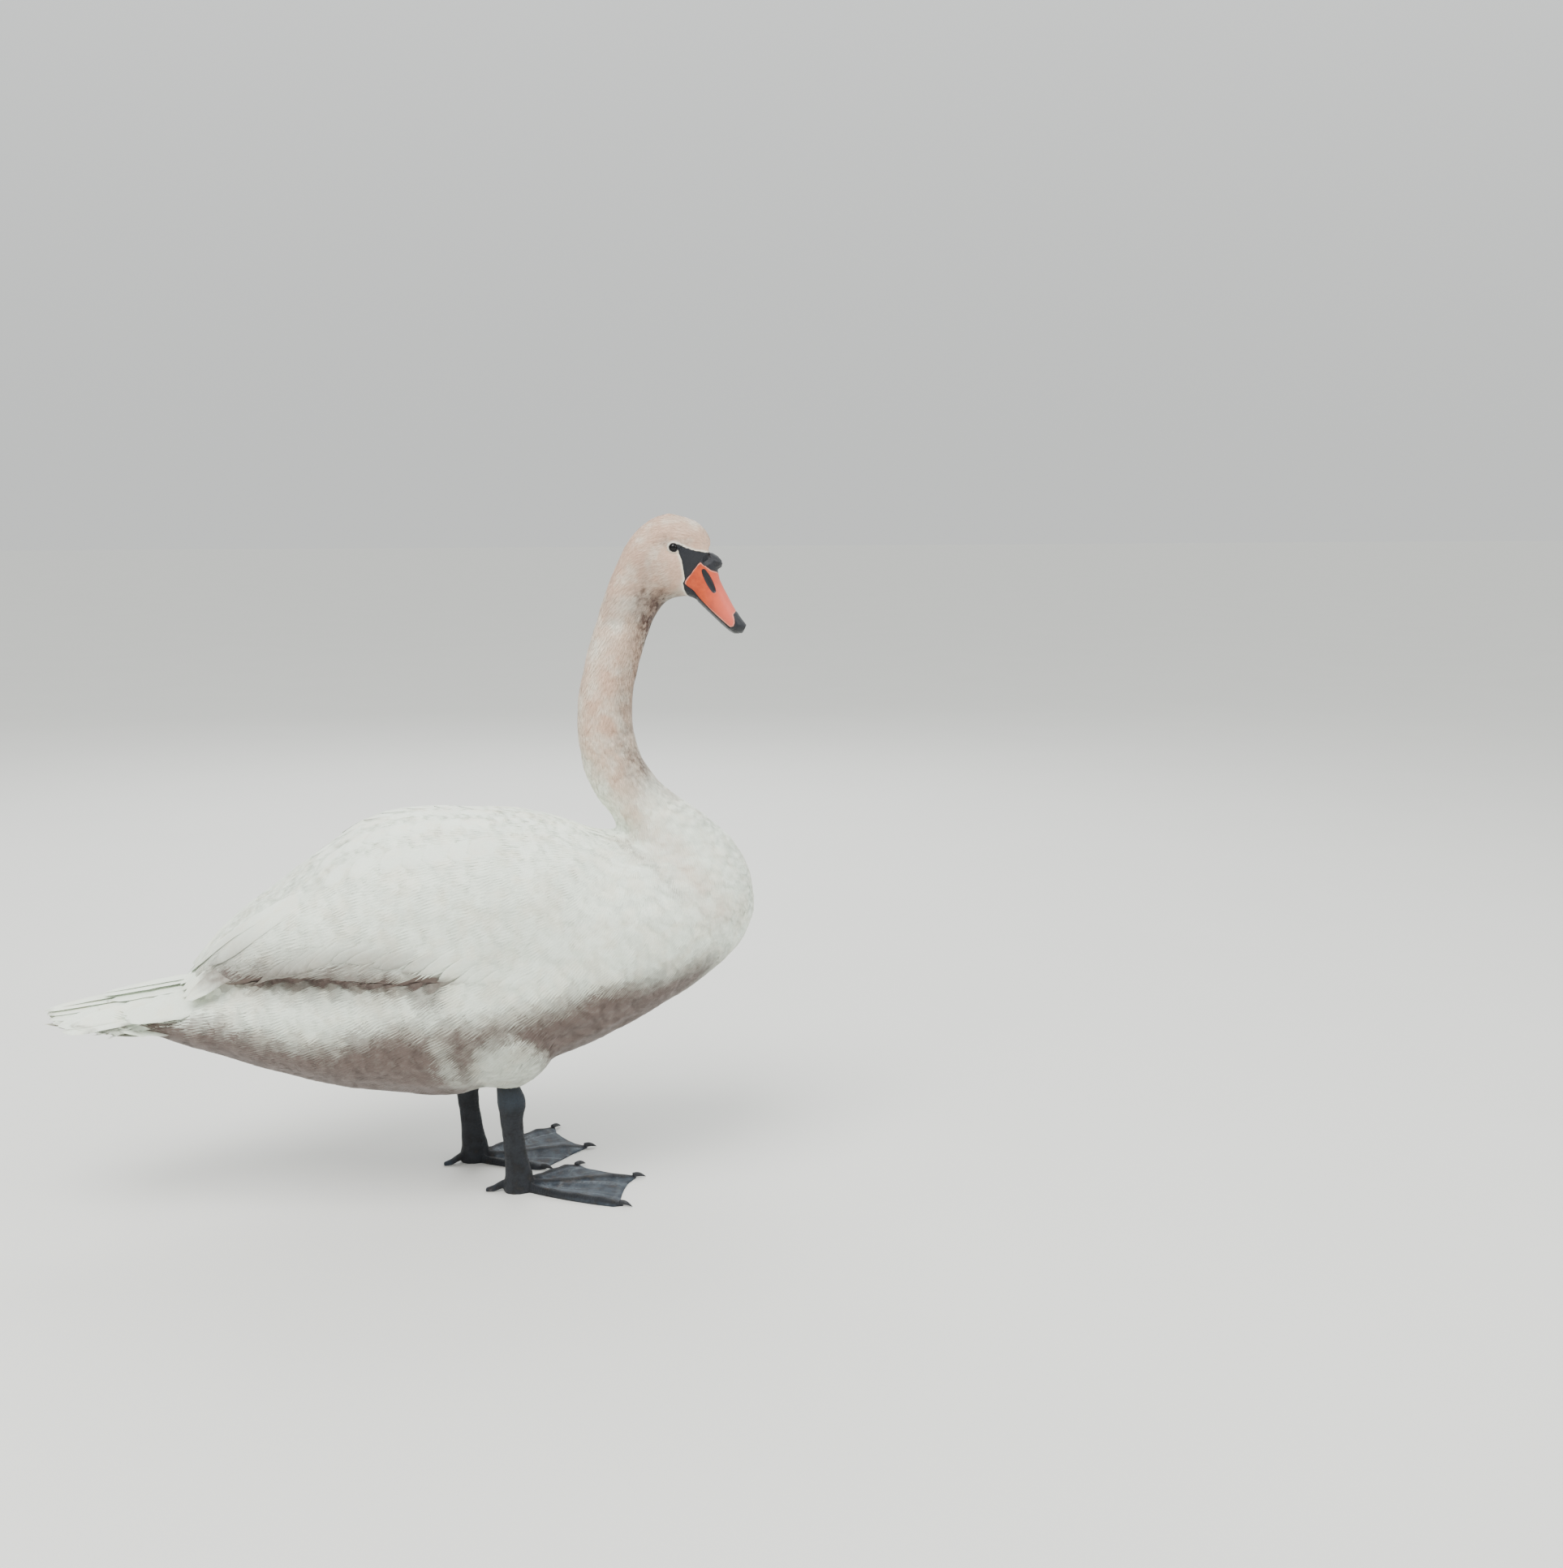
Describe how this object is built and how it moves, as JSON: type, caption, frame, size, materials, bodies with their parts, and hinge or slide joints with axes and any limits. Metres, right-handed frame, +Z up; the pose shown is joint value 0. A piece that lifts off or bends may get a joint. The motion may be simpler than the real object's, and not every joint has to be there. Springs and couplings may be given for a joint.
{
  "type": "mute swan",
  "caption": "Life-size still model of a standing adult mute swan with folded wings, raised neck and webbed feet.",
  "frame": {"origin": "middle of the bird's box on the floor, under the body", "axes": "+X towards the head along the body, +Y towards the bird's left, +Z up"},
  "size_m": [0.85, 0.2964, 0.8279],
  "materials": {
    "feather_white": "matte creamy-white contour feathers",
    "feather_buff": "short matte feathers stained buff",
    "bill_orange": "satin orange horn fading to pink",
    "bill_black": "satin black horn and bare skin",
    "eye_dark": "wet glossy dark brown",
    "leg_slate": "scaly slate-black skin",
    "web_grey": "wrinkled blue-grey webs with ridged toes",
    "claw_black": "dull black horn"
  },
  "bodies": {
    "root": {"head": "feather_buff", "neck_upper": "feather_buff", "neck_middle": "feather_buff", "neck_lower": "feather_buff", "breast": "feather_white", "trunk": "feather_white", "wing_left": "feather_white", "wing_right": "feather_white", "tail": "feather_white", "thigh_left": "feather_white", "thigh_right": "feather_white", "bill_upper": "bill_orange", "bill_lower": "bill_black", "bill_nail": "bill_black", "bill_knob": "bill_black", "eye_left": "eye_dark", "eye_right": "eye_dark", "leg_left": "leg_slate", "leg_right": "leg_slate", "foot_left": "web_grey", "foot_right": "web_grey", "claw_left_1": "claw_black", "claw_left_2": "claw_black", "claw_left_3": "claw_black", "claw_right_1": "claw_black", "claw_right_2": "claw_black", "claw_right_3": "claw_black"}
  },
  "joints": []
}
